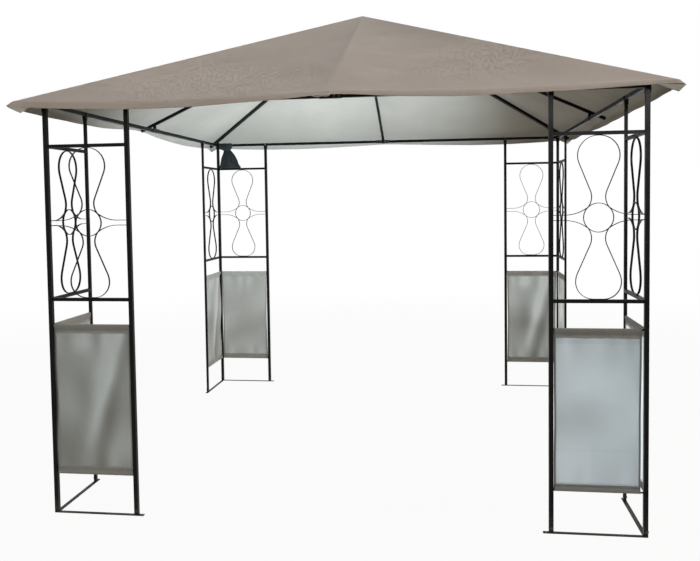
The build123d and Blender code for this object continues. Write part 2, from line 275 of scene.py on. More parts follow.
def hemShare(tree, cloth, values):
    # bands by the distance down the face, and side hems by the distance
    # from the middle: 1 where the cloth is doubled
    lengths = addNode(tree, "ShaderNodeSeparateXYZ", {0: cloth}).outputs
    waver = noiseNode(tree, cloth, hemValues["waverScale"])
    down = mathNode(tree, "MULTIPLY_ADD", waver, hemValues["waver"], lengths["Y"])
    aside = mathNode(tree, "ABSOLUTE", mathNode(tree, "WRAP", lengths["X"], 0.5, -0.5))
    sideStart = values["sideHem"]
    side = rampNode(tree, aside, sideStart - hemValues["sideFade"], sideStart)
    hem = multiply(tree, side, hemValues["sideDepth"])
    for start, end, depth in values["hems"]:
        below = rampNode(tree, down, start, start + hemValues["fade"])
        above = rampNode(tree, down, end + hemValues["fade"], end)
        hem = mathNode(tree, "MAXIMUM", hem, multiply(tree, below, above, depth))
    return hem


def creaseShare(tree, place, values):
    # thin lines where a swirled noise passes its middle value, in patches
    swirl = addNode(tree, "ShaderNodeTexNoise", {"Vector": place, "Scale": weaveValues["swirlScale"]})
    inputs = {0: place, 1: swirl.outputs["Color"]}
    swirled = addNode(tree, "ShaderNodeVectorMath", inputs, operation="ADD").outputs[0]
    noise = noiseNode(tree, swirled, values["creaseScale"], weaveValues["creaseDetail"])
    away = mathNode(tree, "ABSOLUTE", mathNode(tree, "SUBTRACT", noise, 0.5))
    lines = rampNode(tree, away, weaveValues["creaseWidth"], 0.0)
    return multiply(tree, lines, patchNode(tree, place, *weaveValues["creasedPattern"]))


def makeCloth(name, values):
    material, tree = startMaterial(name)
    coordinates = addNode(tree, "ShaderNodeTexCoord").outputs
    cloth, place = coordinates["UV"], coordinates["Object"]
    weave = multiply(tree, *(threadNode(tree, cloth, values["thread"], way) for way in "XY"))
    tone = patchNode(tree, place, values["toneScale"], *weaveValues["tonePattern"])
    base = mixColours(tree, tone, values["dark"], values["light"])
    fibre = patchNode(tree, cloth, *weaveValues["fibrePattern"])
    base = mixColours(tree, multiply(tree, fibre, values["fibre"]), base, values["thin"])
    base = mixColours(tree, multiply(tree, weave, values["weaveTone"]), base, values["deep"])
    soil = patchNode(tree, place, *weaveValues["soilPattern"])
    base = mixColours(tree, multiply(tree, soil, values["soil"]), base, values["soilColour"])
    if values["hems"]:
        hem = hemShare(tree, cloth, values)
        base = mixColours(tree, hem, base, values["hemColour"])
    threads = multiply(tree, weave, values["relief"])
    creases = creaseShare(tree, place, values)
    relief = mathNode(tree, "MULTIPLY_ADD", creases, values["crease"], threads)
    bump = addNode(
        tree, "ShaderNodeBump", {"Strength": 0.5, "Distance": 1.0, "Height": relief},
    ).outputs[0]
    shader = addNode(
        tree, "ShaderNodeBsdfPrincipled",
        {
            "Base Color": base, "Roughness": values["roughness"], "Normal": bump,
            "Sheen Weight": values["sheen"], "Sheen Roughness": 0.5,
            "Specular IOR Level": values["specular"],
        },
    ).outputs[0]
    if values["through"]:
        glow = mixColours(tree, values["glowShare"], base, values["glow"])
        behind = addNode(tree, "ShaderNodeBsdfTranslucent", {"Color": glow, "Normal": bump}).outputs[0]
        through = values["through"]
        if values["hems"]:
            # less light comes through where the cloth is doubled; along the folds the painted fold
            # shade lets more or less through, painted light and shade
            single = mathNode(tree, "MULTIPLY_ADD", hem, -hemValues["lightStopped"], 1.0)
            fold = addNode(tree, "ShaderNodeAttribute", attribute_name="paintedFoldShade").outputs["Fac"]
            paintedFoldLit = mathNode(tree, "MULTIPLY_ADD", fold, values["paintedFoldStrength"], 1.0 - values["paintedFoldStrength"])
            through = multiply(tree, single, through, paintedFoldLit)
        shader = addNode(tree, "ShaderNodeMixShader", {0: through, 1: shader, 2: behind}).outputs[0]
    finishMaterial(tree, shader)
    return material


canopyOutsideValues = {
    "dark": colour(150, 137, 126), "light": colour(164, 151, 140),
    "thin": colour(172, 160, 149), "deep": colour(128, 116, 106),
    "soilColour": colour(120, 112, 104), "glow": colour(226, 224, 216),
    "thread": 0.0011, "relief": 0.0002, "fibre": 0.3, "weaveTone": 0.22,
    "toneScale": 1.7, "soil": 0.16, "creaseScale": 2.4, "crease": 0.0003,
    "roughness": 0.82, "sheen": 0.12, "specular": 0.25, "through": 0.06,
    "glowShare": 0.5, "hems": (),
}
canopyInsideValues = {
    **canopyOutsideValues,
    "dark": colour(176, 171, 162), "light": colour(194, 189, 180),
    "thin": colour(202, 198, 190), "deep": colour(160, 155, 145),
    "soilColour": colour(146, 140, 131), "glow": colour(236, 240, 236),
    "roughness": 0.75, "sheen": 0.05, "specular": 0.2,
}
pocketClothValues = {
    **canopyOutsideValues,
    "dark": colour(144, 138, 127), "light": colour(162, 157, 145),
    "thin": colour(172, 167, 155), "deep": colour(122, 116, 105),
}
panelClothValues = {
    **canopyOutsideValues,
    "dark": colour(136, 132, 124), "light": colour(152, 148, 141),
    "thin": colour(160, 157, 150), "deep": colour(118, 114, 107),
    "soilColour": colour(112, 107, 99), "glow": colour(246, 250, 249),
    "toneScale": 4.0, "soil": 0.2, "creaseScale": 9.0, "crease": 0.0016,
    "roughness": 0.7, "sheen": 0.05, "specular": 0.3, "through": 0.87,
    # how strongly the painted fold light and shade acts on the light let through
    "glowShare": 0.74, "paintedFoldStrength": 0.58,
    # start and end of each hem, pressed line or sleeve, down the face from
    # the top rod, and how far it takes the hem's colour and stops light;
    # then how far from the middle the side hems begin
    "hems": (
        (-0.1, 0.018, 0.85), (0.018, 0.044, 0.78), (0.0655, 0.0675, 0.2),
        (0.7, 0.721, 0.7), (0.721, 0.9, 0.8),
    ),
    "sideHem": 0.1815, "hemColour": colour(188, 186, 179),
}
# the front right panel: a lighter copy of the panel cloth that lets more light through, painted light
# standing in for light from behind it
paintedBacklitPanelValues = {
    **panelClothValues,
    "dark": colour(146, 144, 140), "light": colour(160, 159, 155),
    # the painted fold light and shade acts less here
    "through": 0.96, "glowShare": 0.84, "paintedFoldStrength": 0.28, "glow": colour(244, 250, 253),
    "hemColour": colour(160, 157, 150),
    "hems": (
        (-0.1, 0.018, 1.0), (0.018, 0.044, 0.82), (0.044, 0.07, 0.1),
        (0.552, 0.5535, 0.25), (0.7, 0.721, 0.2), (0.721, 0.9, 0.95),
    ),
}
bagClothValues = {
    **canopyOutsideValues,
    "dark": colour(24, 30, 30), "light": colour(42, 50, 50),
    "thin": colour(54, 62, 62), "deep": colour(15, 19, 19),
    "soilColour": colour(80, 84, 78),
    "thread": 0.0009, "relief": 0.00012, "toneScale": 14.0, "soil": 0.12,
    "creaseScale": 40.0, "crease": 0.0012, "roughness": 0.5, "sheen": 0.1,
    "specular": 0.15, "through": 0.0,
}
canopyOutside = makeCloth("canopyOutside", canopyOutsideValues)
canopyInside = makeCloth("canopyInside", canopyInsideValues)
panelCloth = makeCloth("panelCloth", panelClothValues)
paintedBacklitPanelCloth = makeCloth("paintedBacklitPanelCloth", paintedBacklitPanelValues)
bagCloth = makeCloth("bagCloth", bagClothValues)
pocketCloth = makeCloth("pocketCloth", pocketClothValues)
print("materials made")

for nodeName, node in cadNodes.items():
    node.data.materials.clear()
    node.data.materials.append(stripCoat if "scrollwork" in nodeName else powderCoat)


def cellCorners(grid):
    # a cell of the grid has four neighbouring entries, taken in turn round it
    return np.stack([grid[:-1, :-1], grid[:-1, 1:], grid[1:, 1:], grid[1:, :-1]], axis=2)


def gridQuads(rows, columns, closed):
    # the point numbers of each cell; a closed grid joins its last column to
    # its first
    index = np.arange(rows * columns).reshape(rows, columns)
    if closed:
        index = np.concatenate([index, index[:, :1]], axis=1)
    return cellCorners(index).reshape(-1, 4)


# A grid of points, rows by columns, made into one smooth mesh with UVs
def gridMesh(name, points, uv, material, closed=False):
    quads = gridQuads(*points.shape[:2], closed)
    mesh = bpy.data.meshes.new(name)
    mesh.from_pydata(points.reshape(-1, 3).tolist(), [], quads.tolist())
    cornerUv = cellCorners(uv).reshape(-1).astype(np.float32)
    mesh.uv_layers.new(name="clothMap").data.foreach_set("uv", cornerUv)
    mesh.shade_smooth()
    mesh.materials.append(material)
    return mesh


def closeEnds(mesh):
    # each open end of a tube gets one face, and all faces point outwards
    work = bmesh.new()
    work.from_mesh(mesh)
    bmesh.ops.holes_fill(work, edges=[edge for edge in work.edges if edge.is_boundary])
    bmesh.ops.recalc_face_normals(work, faces=work.faces)
    work.to_mesh(mesh)
    work.free()


def addPiece(mesh, name):
    piece = bpy.data.objects.new(name, mesh)
    bpy.context.scene.collection.objects.link(piece)
    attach(piece, "root")
    return piece


def thicken(piece, thickness, offset=-1.0, inside=False):
    # with inside, the inner face takes the mesh's second material
    wall = piece.modifiers.new("clothThickness", "SOLIDIFY")
    wall.thickness = thickness
    wall.offset = offset
    if inside:
        wall.material_offset = 1
        wall.material_offset_rim = 0


# Cloth area: the summed area of a sheet's faces
def clothArea(piece):
    mesh = piece.data
    areas = np.zeros(len(mesh.polygons))
    mesh.polygons.foreach_get("area", areas)
    return float(areas.sum())


def smoothStep(value):
    # 3 x^2 - 2 x^3, held at 0 and 1 outside
    value = np.clip(value, 0, 1)
    return value * value * (3 - 2 * value)


def bell(distance, width):
    # a Gaussian that falls to 1/e at the width
    return np.exp(-((distance / width) ** 2))


# Canopy: one sheet over the rafters that turns down into its hanging band
canopyValues = {
    "columnsPerSide": 132,
    "roofRows": 74,
    "bandRows": 12,
    "climbPower": 0.9,
    # share of the column spacing that is even; the rest crowds at the corners
    "evenShare": 0.6,
    "sag": 0.090,
    "sagShare": {"front": 1.6, "right": 0.92, "back": 1.3, "left": 1.0},
    "sagSkew": {"front": 0.92, "right": 1.08, "back": 1.08, "left": 0.92},
    "sagPower": 1.5,
    "sagEase": 0.85,
    # millimetres over which the sheet turns down, along the front from its
    # left end; the other sides take the left half's values at both ends
    "foldWidth": (
        (-1, -0.9, -0.3, -0.03, 0.03, 0.12, 0.3, 0.6, 0.9, 1),
        (20, 22, 30, 26, 26, 60, 80, 80, 60, 20),
    ),
    # parts of the fold's width that lie inside the eave and that the band
    # takes in length, and the angle at which it hangs, in radians from level
    "foldInside": 0.62,
    "foldLength": 0.55,
    "hangAngle": 1.47,
    # height and turns of the band's wave, and how far from a corner it is full
    "wave": 0.0035,
    "waveTurns": (17, 7.3),
    "waveFree": 0.2,
    "flare": 0.020,
    "flareWidth": 0.045,
    "flarePower": 1.4,
    "wrinkles": {
        "seed": 11, "count": 110, "reach": 1.45, "spread": 1.1, "turn": (0.5, 1.1), "bend": 0.6,
        "length": (0.12, 0.42), "width": (0.034, 0.062), "size": (0.0012, 0.0038),
        # they are full at one twelfth of the eave's reach from a rafter
        "clearance": 12,
    },
    "slowWave": 0.0018,
    # heading, height and length of each fold that fans out from the front roll
    "rollFolds": (
        (0.05, 0.004, 0.35), (0.16, -0.003, 0.3), (0.24, 0.0035, 0.25), (0.5, 0.002, 0.2),
        (2.95, 0.003, 0.2), (2.6, -0.0025, 0.15),
    ),
    "rollFoldWidth": 0.03,
    "rollFoldSpread": 0.02,
    "rollFoldStart": 0.1,
    "thickness": 0.0012,
    # how many millimetres the lower edge hangs below the eave, from each
    # side's left end to its right end as seen from outside
    "frontEdge": (
        (
            -1.504, -1.42, -1.14, -0.9, -0.63, -0.375, -0.165, -0.015,
            0.1, 0.3, 0.53, 0.69, 0.93, 1.16, 1.42, 1.504,
        ),
        (20, 34, 47, 54, 52, 38, 27, 13, 15, 31, 39, 39, 34, 28, 15, 19),
    ),
    "rightEdge": (
        (-1.504, -1.3, -1.0, -0.5, 0, 0.25, 0.5, 0.75, 1.0, 1.25, 1.42, 1.504),
        (24, 32, 37, 40, 43, 44, 39, 33, 36, 38, 30, 20),
    ),
    "backEdge": (
        (-1.504, -1.3, -1.05, -0.75, -0.45, -0.2, 0, 0.2, 0.45, 0.75, 1.05, 1.3, 1.504),
        (20, 34, 44, 46, 38, 28, 21, 31, 41, 46, 43, 33, 20),
    ),
    "leftEdge": (
        (
            -1.504, -1.3, -0.9, -0.55, -0.3, -0.1, 0, 0.1,
            0.25, 0.4, 0.55, 0.85, 1.15, 1.3, 1.45, 1.504,
        ),
        (20, 34, 43, 38, 26, 12, 7, 8, 17, 29, 38, 41, 41, 39, 37, 26),
    ),
}


def edgeDrop(side, along):
    # the listed drops joined by straight lines, then averaged over 160 mm
    places, drops = canopyValues[side + "Edge"]
    halfSpan = 0.08
    kernel = np.linspace(-halfSpan, halfSpan, 9)
    inner = np.clip(eaveReach - np.abs(along), 0, halfSpan) / halfSpan
    samples = along[..., None] + kernel * inner[..., None]
    return np.interp(samples, places, drops).mean(axis=-1) / 1000


def roofHeight(side, share, reach):
    # share runs from -1 to 1 along the side and reach from 0 at the peak to
    # the eave. Height is the flat slope, less a sag that is nil over each
    # rafter, a skewed parabola between them, and grows with the span as
    # x^1.5 (1 - 0.85 x)
    span = reach / eaveReach
    across = np.abs(share) ** canopyValues["sagSkew"][side]
    depth = canopyValues["sag"] * canopyValues["sagShare"][side]
    down = depth * span ** canopyValues["sagPower"] * (1 - canopyValues["sagEase"] * span)
    sag = down * 4 * across * (1 - across)
    return apexHeight - roofSlope * reach - sag


def wrinkleField(x, y, across, span):
    # a sum of short curved ridges, each a Gaussian across its line and along
    # it; they fade out over the rafters and at the peak
    wrinkles = canopyValues["wrinkles"]
    random = np.random.default_rng(wrinkles["seed"])
    count, spread = wrinkles["count"], wrinkles["spread"]
    angle = random.uniform(0, 2 * np.pi, count)
    reach = wrinkles["reach"] * np.sqrt(random.uniform(0.03, 1, count))
    centreX, centreY = reach * np.cos(angle) * spread, reach * np.sin(angle) * spread
    heading = angle + random.choice([-1, 1], count) * random.uniform(*wrinkles["turn"], count)
    length = random.uniform(*wrinkles["length"], count)
    width = random.uniform(*wrinkles["width"], count)
    size = random.uniform(*wrinkles["size"], count) * random.choice([-1, 1], count)
    total = np.zeros_like(x)
    for i in range(count):
        ahead = (x - centreX[i]) * np.cos(heading[i]) + (y - centreY[i]) * np.sin(heading[i])
        aside = (y - centreY[i]) * np.cos(heading[i]) - (x - centreX[i]) * np.sin(heading[i])
        aside = aside - wrinkles["bend"] * ahead ** 2
        total += size[i] * bell(ahead, length[i]) * bell(aside, width[i])
    for turn, size, reach in canopyValues["rollFolds"]:
        # long narrow ridges that fan out from the middle of the front edge
        ahead = x * np.cos(turn) + (y + eaveReach) * np.sin(turn)
        aside = (y + eaveReach) * np.cos(turn) - x * np.sin(turn)
        rise = smoothStep(ahead / canopyValues["rollFoldStart"])
        width = canopyValues["rollFoldWidth"] + canopyValues["rollFoldSpread"] * ahead.clip(0)
        total += size * np.exp(-ahead / reach) * rise * bell(aside, width)
    # slow waves: a product of two sines, each with a phase that wanders
    slow = canopyValues["slowWave"] * np.sin(5.1 * x + 1.3 * np.sin(3.7 * y))
    slow = slow * np.sin(4.3 * y + 1.1 * np.sin(2.9 * x))
    clearance = wrinkles["clearance"]
    free = smoothStep(across * span * clearance) * smoothStep((1 - across) * span * clearance)
    return (total + slow) * free


def hangBand(number, share, turnIn, foldWidth, top, low):
    # the band leaves the roof at its own slope and turns down along an arc:
    # its angle is a smooth step of the length over the fold's width, and its
    # points are the running sum of that direction. It stands out by a
    # Gaussian at each corner, and its wave is a product of two sines
    bandRows = canopyValues["bandRows"]
    fall = np.linspace(0, 1, bandRows + 1)[1:, None]
    length = (top - low) + canopyValues["foldLength"] * foldWidth
    travelled = fall * length
    roofAngle = np.arctan(roofSlope)
    turned = smoothStep((travelled - 0.5 * length / bandRows) / foldWidth)
    angle = roofAngle + (canopyValues["hangAngle"] - roofAngle) * turned
    out = turnIn + np.cumsum(np.cos(angle) * length / bandRows, axis=0)
    sunk = np.cumsum(np.sin(angle) * length / bandRows, axis=0)
    height = top - sunk * (top - low) / sunk[-1]
    gap = (1 - np.abs(share)) * eaveReach
    fast, slow = canopyValues["waveTurns"]
    wave = canopyValues["wave"] * np.sin(share * eaveReach * fast + number)
    wave = wave * np.sin(share * slow + 2 * number)
    flare = canopyValues["flare"] * bell(gap, canopyValues["flareWidth"])
    stand = flare + wave * smoothStep(gap / canopyValues["waveFree"])
    out = out + stand * fall ** canopyValues["flarePower"]
    along = share * (out - flare * fall) + np.sign(share) * flare * fall
    return out, along, height, travelled


def canopyFace(number, side, share):
    # one side's rows from the peak to the fold, then those of its band
    outX, outY = sides[side]
    rightX, rightY = -outY, outX
    places, widths = canopyValues["foldWidth"]
    foldWidth = np.interp(share if side == "front" else -np.abs(share), places, widths) / 1000
    turnIn = eaveReach - canopyValues["foldInside"] * foldWidth
    climb = np.linspace(0, 1, canopyValues["roofRows"]) ** canopyValues["climbPower"]
    out = climb[:, None] * turnIn
    along = share * out
    x, y = out * outX + along * rightX, out * outY + along * rightY
    height = roofHeight(side, np.broadcast_to(share, out.shape), out)
    height = height + wrinkleField(x, y, np.abs(share) * np.ones_like(out), out / eaveReach)
    low = eaveHeight - edgeDrop(side, share * eaveReach)
    bandOut, bandAlong, bandHeight, travelled = hangBand(
        number, share, turnIn, foldWidth, height[-1], low
    )
    x = np.vstack([x, bandOut * outX + bandAlong * rightX])
    y = np.vstack([y, bandOut * outY + bandAlong * rightY])
    points = np.stack([x, y, np.vstack([height, bandHeight])], axis=-1)
    # the map is in metres, and each side's lies 4 m on from the last
    slopeLength = out * np.hypot(1, roofSlope)
    v = np.vstack([slopeLength, slopeLength[-1] + travelled])
    u = np.vstack([along, np.repeat(along[-1:], len(travelled), axis=0)]) + 4 * number
    return points, np.stack([u, v], axis=-1)


def makeCanopy():
    step = np.linspace(-1, 1, canopyValues["columnsPerSide"], endpoint=False)
    even = canopyValues["evenShare"]
    share = even * step + (1 - even) * np.sin(np.pi * step / 2)
    faces = [canopyFace(number, side, share) for number, side in enumerate(sides)]
    points, uv = (np.concatenate(blocks, axis=1) for blocks in zip(*faces))
    # the last column's map goes on by about one cell
    uv = np.concatenate([uv, uv[:, -1:] + [0.02, 0]], axis=1)
    mesh = gridMesh("canopySheet", points, uv, canopyOutside, closed=True)
    mesh.materials.append(canopyInside)
    return mesh


def weldPeak(mesh):
    # the first row of the grid is one point at the peak
    work = bmesh.new()
    work.from_mesh(mesh)
    bmesh.ops.remove_doubles(work, verts=work.verts, dist=1e-6)
    bmesh.ops.recalc_face_normals(work, faces=work.faces)
    top = max(work.faces, key=lambda face: face.calc_center_median().z)
    if top.normal.z < 0:
        bmesh.ops.reverse_faces(work, faces=work.faces)
    work.to_mesh(mesh)
    work.free()


canopyMesh = makeCanopy()
weldPeak(canopyMesh)
canopy = addPiece(canopyMesh, "canopy")
thicken(canopy, canopyValues["thickness"], inside=True)
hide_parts(*[f"canopy_{side}" for side in sides], "valance")
print("canopy made")


# Corner pockets: a patch in each corner that takes the rafter's end and hangs
# below the band in a point on either side
pocketValues = {
    "inset": 0.0018,
    "topDrop": 0.008,
    "thickness": 0.0016,
    "columns": 45,
    "rows": 12,
    "flare": 0.021,
    "flareWidth": 0.042,
    "flareDrop": 0.024,
    "flarePower": 1.2,
    "ripple": 0.004,
    "rippleWave": 60,
    # distance from the corner, and how far below the eave the patch ends
    "edge": ((0, 0.026, 0.074, 0.088), (0.024, 0.053, 0.020, 0.014)),
    "frontLeftEdge": ((0, 0.047, 0.084, 0.092), (0.022, 0.056, 0.022, 0.014)),
    # the patch on the gazebo's left or right side hangs less
    "sideEdge": ((0, 0.03, 0.074, 0.088), (0.024, 0.030, 0.022, 0.014)),
}


def makePocket(signX, signY):
    # both legs of an L, with a straight-lined lower edge. The flare is a
    # Gaussian of the distance from the corner, and grows with the drop to
    # the power 1.2; a sine ripples the patch along its run
    edge = pocketValues["frontLeftEdge" if signX < 0 and signY < 0 else "edge"]
    reach, point, end = edge[0][-1], edge[0][1], edge[0][2]
    run = np.linspace(-reach, reach, pocketValues["columns"])
    run = np.sort(np.concatenate([run, [-point, point, -end, end]]))
    runs, falls = np.meshgrid(run, np.linspace(0, 1, pocketValues["rows"]))
    away = np.abs(runs)
    low = np.where(runs > 0, np.interp(away, *pocketValues["sideEdge"]), np.interp(away, *edge))
    drop = (low * falls / pocketValues["flareDrop"]).clip(0, 1) ** pocketValues["flarePower"]
    out = pocketValues["flare"] * bell(away, pocketValues["flareWidth"]) * drop
    ripple = pocketValues["ripple"] * np.sin(away * pocketValues["rippleWave"]) * falls
    out = out - pocketValues["inset"] + ripple
    x = signX * (eaveReach + out - np.where(runs < 0, away, 0))
    y = signY * (eaveReach + out - np.where(runs > 0, away, 0))
    z = eaveHeight - pocketValues["topDrop"] - (low - pocketValues["topDrop"]) * falls
    points = np.stack([x, y, z], axis=-1)
    uv = np.stack([runs, z], axis=-1)
    return points, uv


def addPockets():
    for number, (signX, signY) in enumerate([(-1, -1), (1, -1), (-1, 1), (1, 1)]):
        points, uv = makePocket(signX, signY)
        if signX * signY < 0:
            points, uv = points[:, ::-1], uv[:, ::-1]
        mesh = gridMesh(f"cornerPocket{number}", points, uv, pocketCloth)
        mesh.materials.append(canopyInside)
        piece = addPiece(mesh, f"cornerPocket{number}")
        thicken(piece, pocketValues["thickness"], offset=0.0, inside=True)
        clothArea(piece)
        if number == 0:
            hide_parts("corner_pockets")


addPockets()
print("corner pockets made")


# Middle of the front band: its hem is rolled up over the beam's joiner
hemRollValues = {
    "middle": (-0.032, -1.4985, 2.0005),
    "halfLength": 0.046,
    "halfHeight": 0.0095,
    "halfDepth": 0.006,
    "sway": 0.0018,
    "rows": 56,
    "columns": 40,
    "mapRadius": 0.008,
}


def addHemRoll():
    # a spindle: its radius is sqrt(1 - s^4) along s, sine folds run round and
    # along it, and its line sways by a sine
    middleX, middleY, middleZ = hemRollValues["middle"]
    places = np.linspace(-0.995, 0.995, hemRollValues["rows"])
    angles = np.linspace(0, 2 * np.pi, hemRollValues["columns"], endpoint=False)
    s, q = np.meshgrid(places, angles, indexing="ij")
    body = np.sqrt(1 - s ** 4)
    folds = 1 + 0.12 * np.sin(3 * q + 6 * s) + 0.09 * np.sin(5 * q - 11 * s + 1)
    folds = folds + 0.05 * np.sin(17 * s + q)
    sway = hemRollValues["sway"] * np.sin(5 * s + 0.5)
    x = middleX + hemRollValues["halfLength"] * s
    y = middleY + hemRollValues["halfDepth"] * body * folds * np.cos(q)
    z = middleZ + hemRollValues["halfHeight"] * body * folds * np.sin(q) + sway
    points = np.stack([x, y, z], axis=-1)
    mapRadius = hemRollValues["mapRadius"]
    uv = np.stack([s * hemRollValues["halfLength"], q * mapRadius], axis=-1)
    uv = np.concatenate([uv, uv[:, :1] + [0, 2 * np.pi * mapRadius]], axis=1)
    mesh = gridMesh("hemRoll", points, uv, canopyOutside, closed=True)
    closeEnds(mesh)
    roll = addPiece(mesh, "hemRoll")


addHemRoll()
print("front roll made")


# Cloth panels, each sewn into a sleeve round its top and its bottom rod
clothPanelValues = {
    "topRod": 0.9342,
    "bottomRod": 0.2008,
    "sleeve": 0.0052,
    "hem": 0.028,
    "hemGap": 0.0008,
    "thickness": 0.0009,
    "columns": 48,
    # points on each hem or tangent, on each half circle and on the face
    "rampPoints": 9,
    "turnPoints": 11,
    "facePoints": 45,
    "mapHalfWidth": 0.19,
    # slanting waves: how many, and the ranges of slant, wave and height
    "waves": 5,
    "waveSlant": (0.5, 1.2),
    "waveTurns": (5, 15),
    "waveSize": (0.0012, 0.003),
    "waveCrowding": 1.6,
    "waveHeight": 0.73,
    "pucker": 0.0018,
    # height and spread of each row of puckers, and how big the lower row is
    "topPuckers": (0.70, 0.10),
    "footPuckers": (0.03, 0.08),
    "footShare": 0.7,
    "longFold": 0.006,
    "longFolds": ("front_left_front_cloth", "back_left_left_cloth", "back_right_back_cloth"),
    # painted light and shade on the light let through: a middle value, what the folds, the puckers and
    # a long fold add, and how much lighter the top is painted
    "tone": 0.58,
    "paintedFoldShade": 42,
    "puckerPaintedShade": 0.18,
    "longFoldPaintedShade": 0.5,
    "paintedTopLight": 0.35,
    "bow": 0.001,
    "insetMiddle": 0.37,
    # millimetres at the foot, the middle and the top, low edge then high edge
    "edges": {
        "front_right_front_cloth": ((-2, -2, -2), (9, 6, 5)),
        "front_left_front_cloth": ((-3, -3, -3), (-3, -3, -3)),
        "others": ((-2, 2, -2), (-1, 3, -1)),
    },
}
# The long fold: places are shares of the cloth's half width, and heights are
# metres above the bottom rod
longFoldValues = {
    "slope": 1.36,
    "start": -0.35,
    "width": 0.15,
    "spread": 0.12,
    "rise": (0.02, 0.25),
    # how far the hollow lies beside the ridge, its width and its depth
    "hollow": (0.4, 0.2, 0.75),
    # place and width across, height and spread up the cloth, and depth
    "slack": (-0.28, 0.32, 0.43, 0.15, 0.7),
    "patch": (-0.35, 0.3, 0.65, 0.05, 0.7),
}


def sleevePath(values):
    # from the top hem up over the top rod, down the face, round the bottom
    # rod and up to the bottom hem; each sleeve is a half circle on two
    # smooth-stepped tangents
    top, bottom, radius, hem, gap = (
        values[key] for key in ("topRod", "bottomRod", "sleeve", "hem", "hemGap")
    )
    ramp = np.linspace(0, 1, values["rampPoints"])
    turn = np.linspace(0, np.pi, values["turnPoints"] + 2)[1:-1]
    face = np.linspace(top - hem, bottom + hem, values["facePoints"] + 2)[1:-1]
    spread = smoothStep(ramp)
    parts = [
        np.stack([-gap - (radius - gap) * spread, top - hem * (1 - ramp)], axis=1),
        np.stack([-radius * np.cos(turn), top + radius * np.sin(turn)], axis=1),
        np.stack([radius * (1 - spread), top - hem * ramp], axis=1),
        np.stack([np.zeros_like(face), face], axis=1),
        np.stack([radius * spread, bottom + hem * (1 - ramp)], axis=1),
        np.stack([radius * np.cos(turn), bottom - radius * np.sin(turn)], axis=1),
        np.stack([-radius + (radius - gap) * spread, bottom + hem * ramp], axis=1),
    ]
    return np.concatenate(parts)


def foldField(u, t, seed):
    # a few slanting waves, nil along both rods: A sin(k (u cos q + t sin q) + f)
    random = np.random.default_rng(seed)
    crowding = clothPanelValues["waveCrowding"]
    total = np.zeros_like(u)
    for _ in range(clothPanelValues["waves"]):
        slant = random.uniform(*clothPanelValues["waveSlant"]) * random.choice([-1, 1])
        wave = random.uniform(*clothPanelValues["waveTurns"])
        size = random.uniform(*clothPanelValues["waveSize"])
        line = wave * (u * np.cos(slant) + t * np.sin(slant)) * crowding
        total += size * np.sin(line + random.uniform(0, 6.28))
    return total * np.sin(np.pi * np.clip(t / clothPanelValues["waveHeight"], 0, 1)) ** 0.7


def longFold(share, t):
    # a fold from the top of one edge to the foot of the cloth: a Gaussian
    # ridge along share = 1.36 t - 0.35 that widens upwards, with a hollow
    # beside it, a slack hollow on its other side and a raised patch under
    # the hem. The same field is also painted as light and shade, the patch lighter
    values = longFoldValues
    line = values["slope"] * t + values["start"]
    ridge = bell(share - line, values["width"] + values["spread"] * t)
    foot, height = values["rise"]
    ridge = ridge * smoothStep((t - foot) / height)
    beside, width, depth = values["hollow"]
    hollow = depth * bell(share - line - beside, width)
    slack, patch = (
        depth * (bell(share - place, width) * bell(t - height, spread))
        for place, width, height, spread, depth in (values["slack"], values["patch"])
    )
    return ridge - hollow - slack + patch


def puckers(share, t, seed):
    # short creases that hang from the top hem and stand on the bottom one:
    # sines across the cloth, each row a Gaussian up the cloth
    random = np.random.default_rng(seed + 40)
    first, second, third = random.uniform(0, 6.28, 3)
    topAt, topSpread = clothPanelValues["topPuckers"]
    footAt, footSpread = clothPanelValues["footPuckers"]
    top = np.sin(11 * share + first + 1.3 * np.sin(4 * share + second))
    foot = np.sin(9 * share + third + 1.1 * np.sin(5 * share + first))
    top = top * bell(t - topAt, topSpread)
    foot = foot * bell(t - footAt, footSpread)
    return top + clothPanelValues["footShare"] * foot


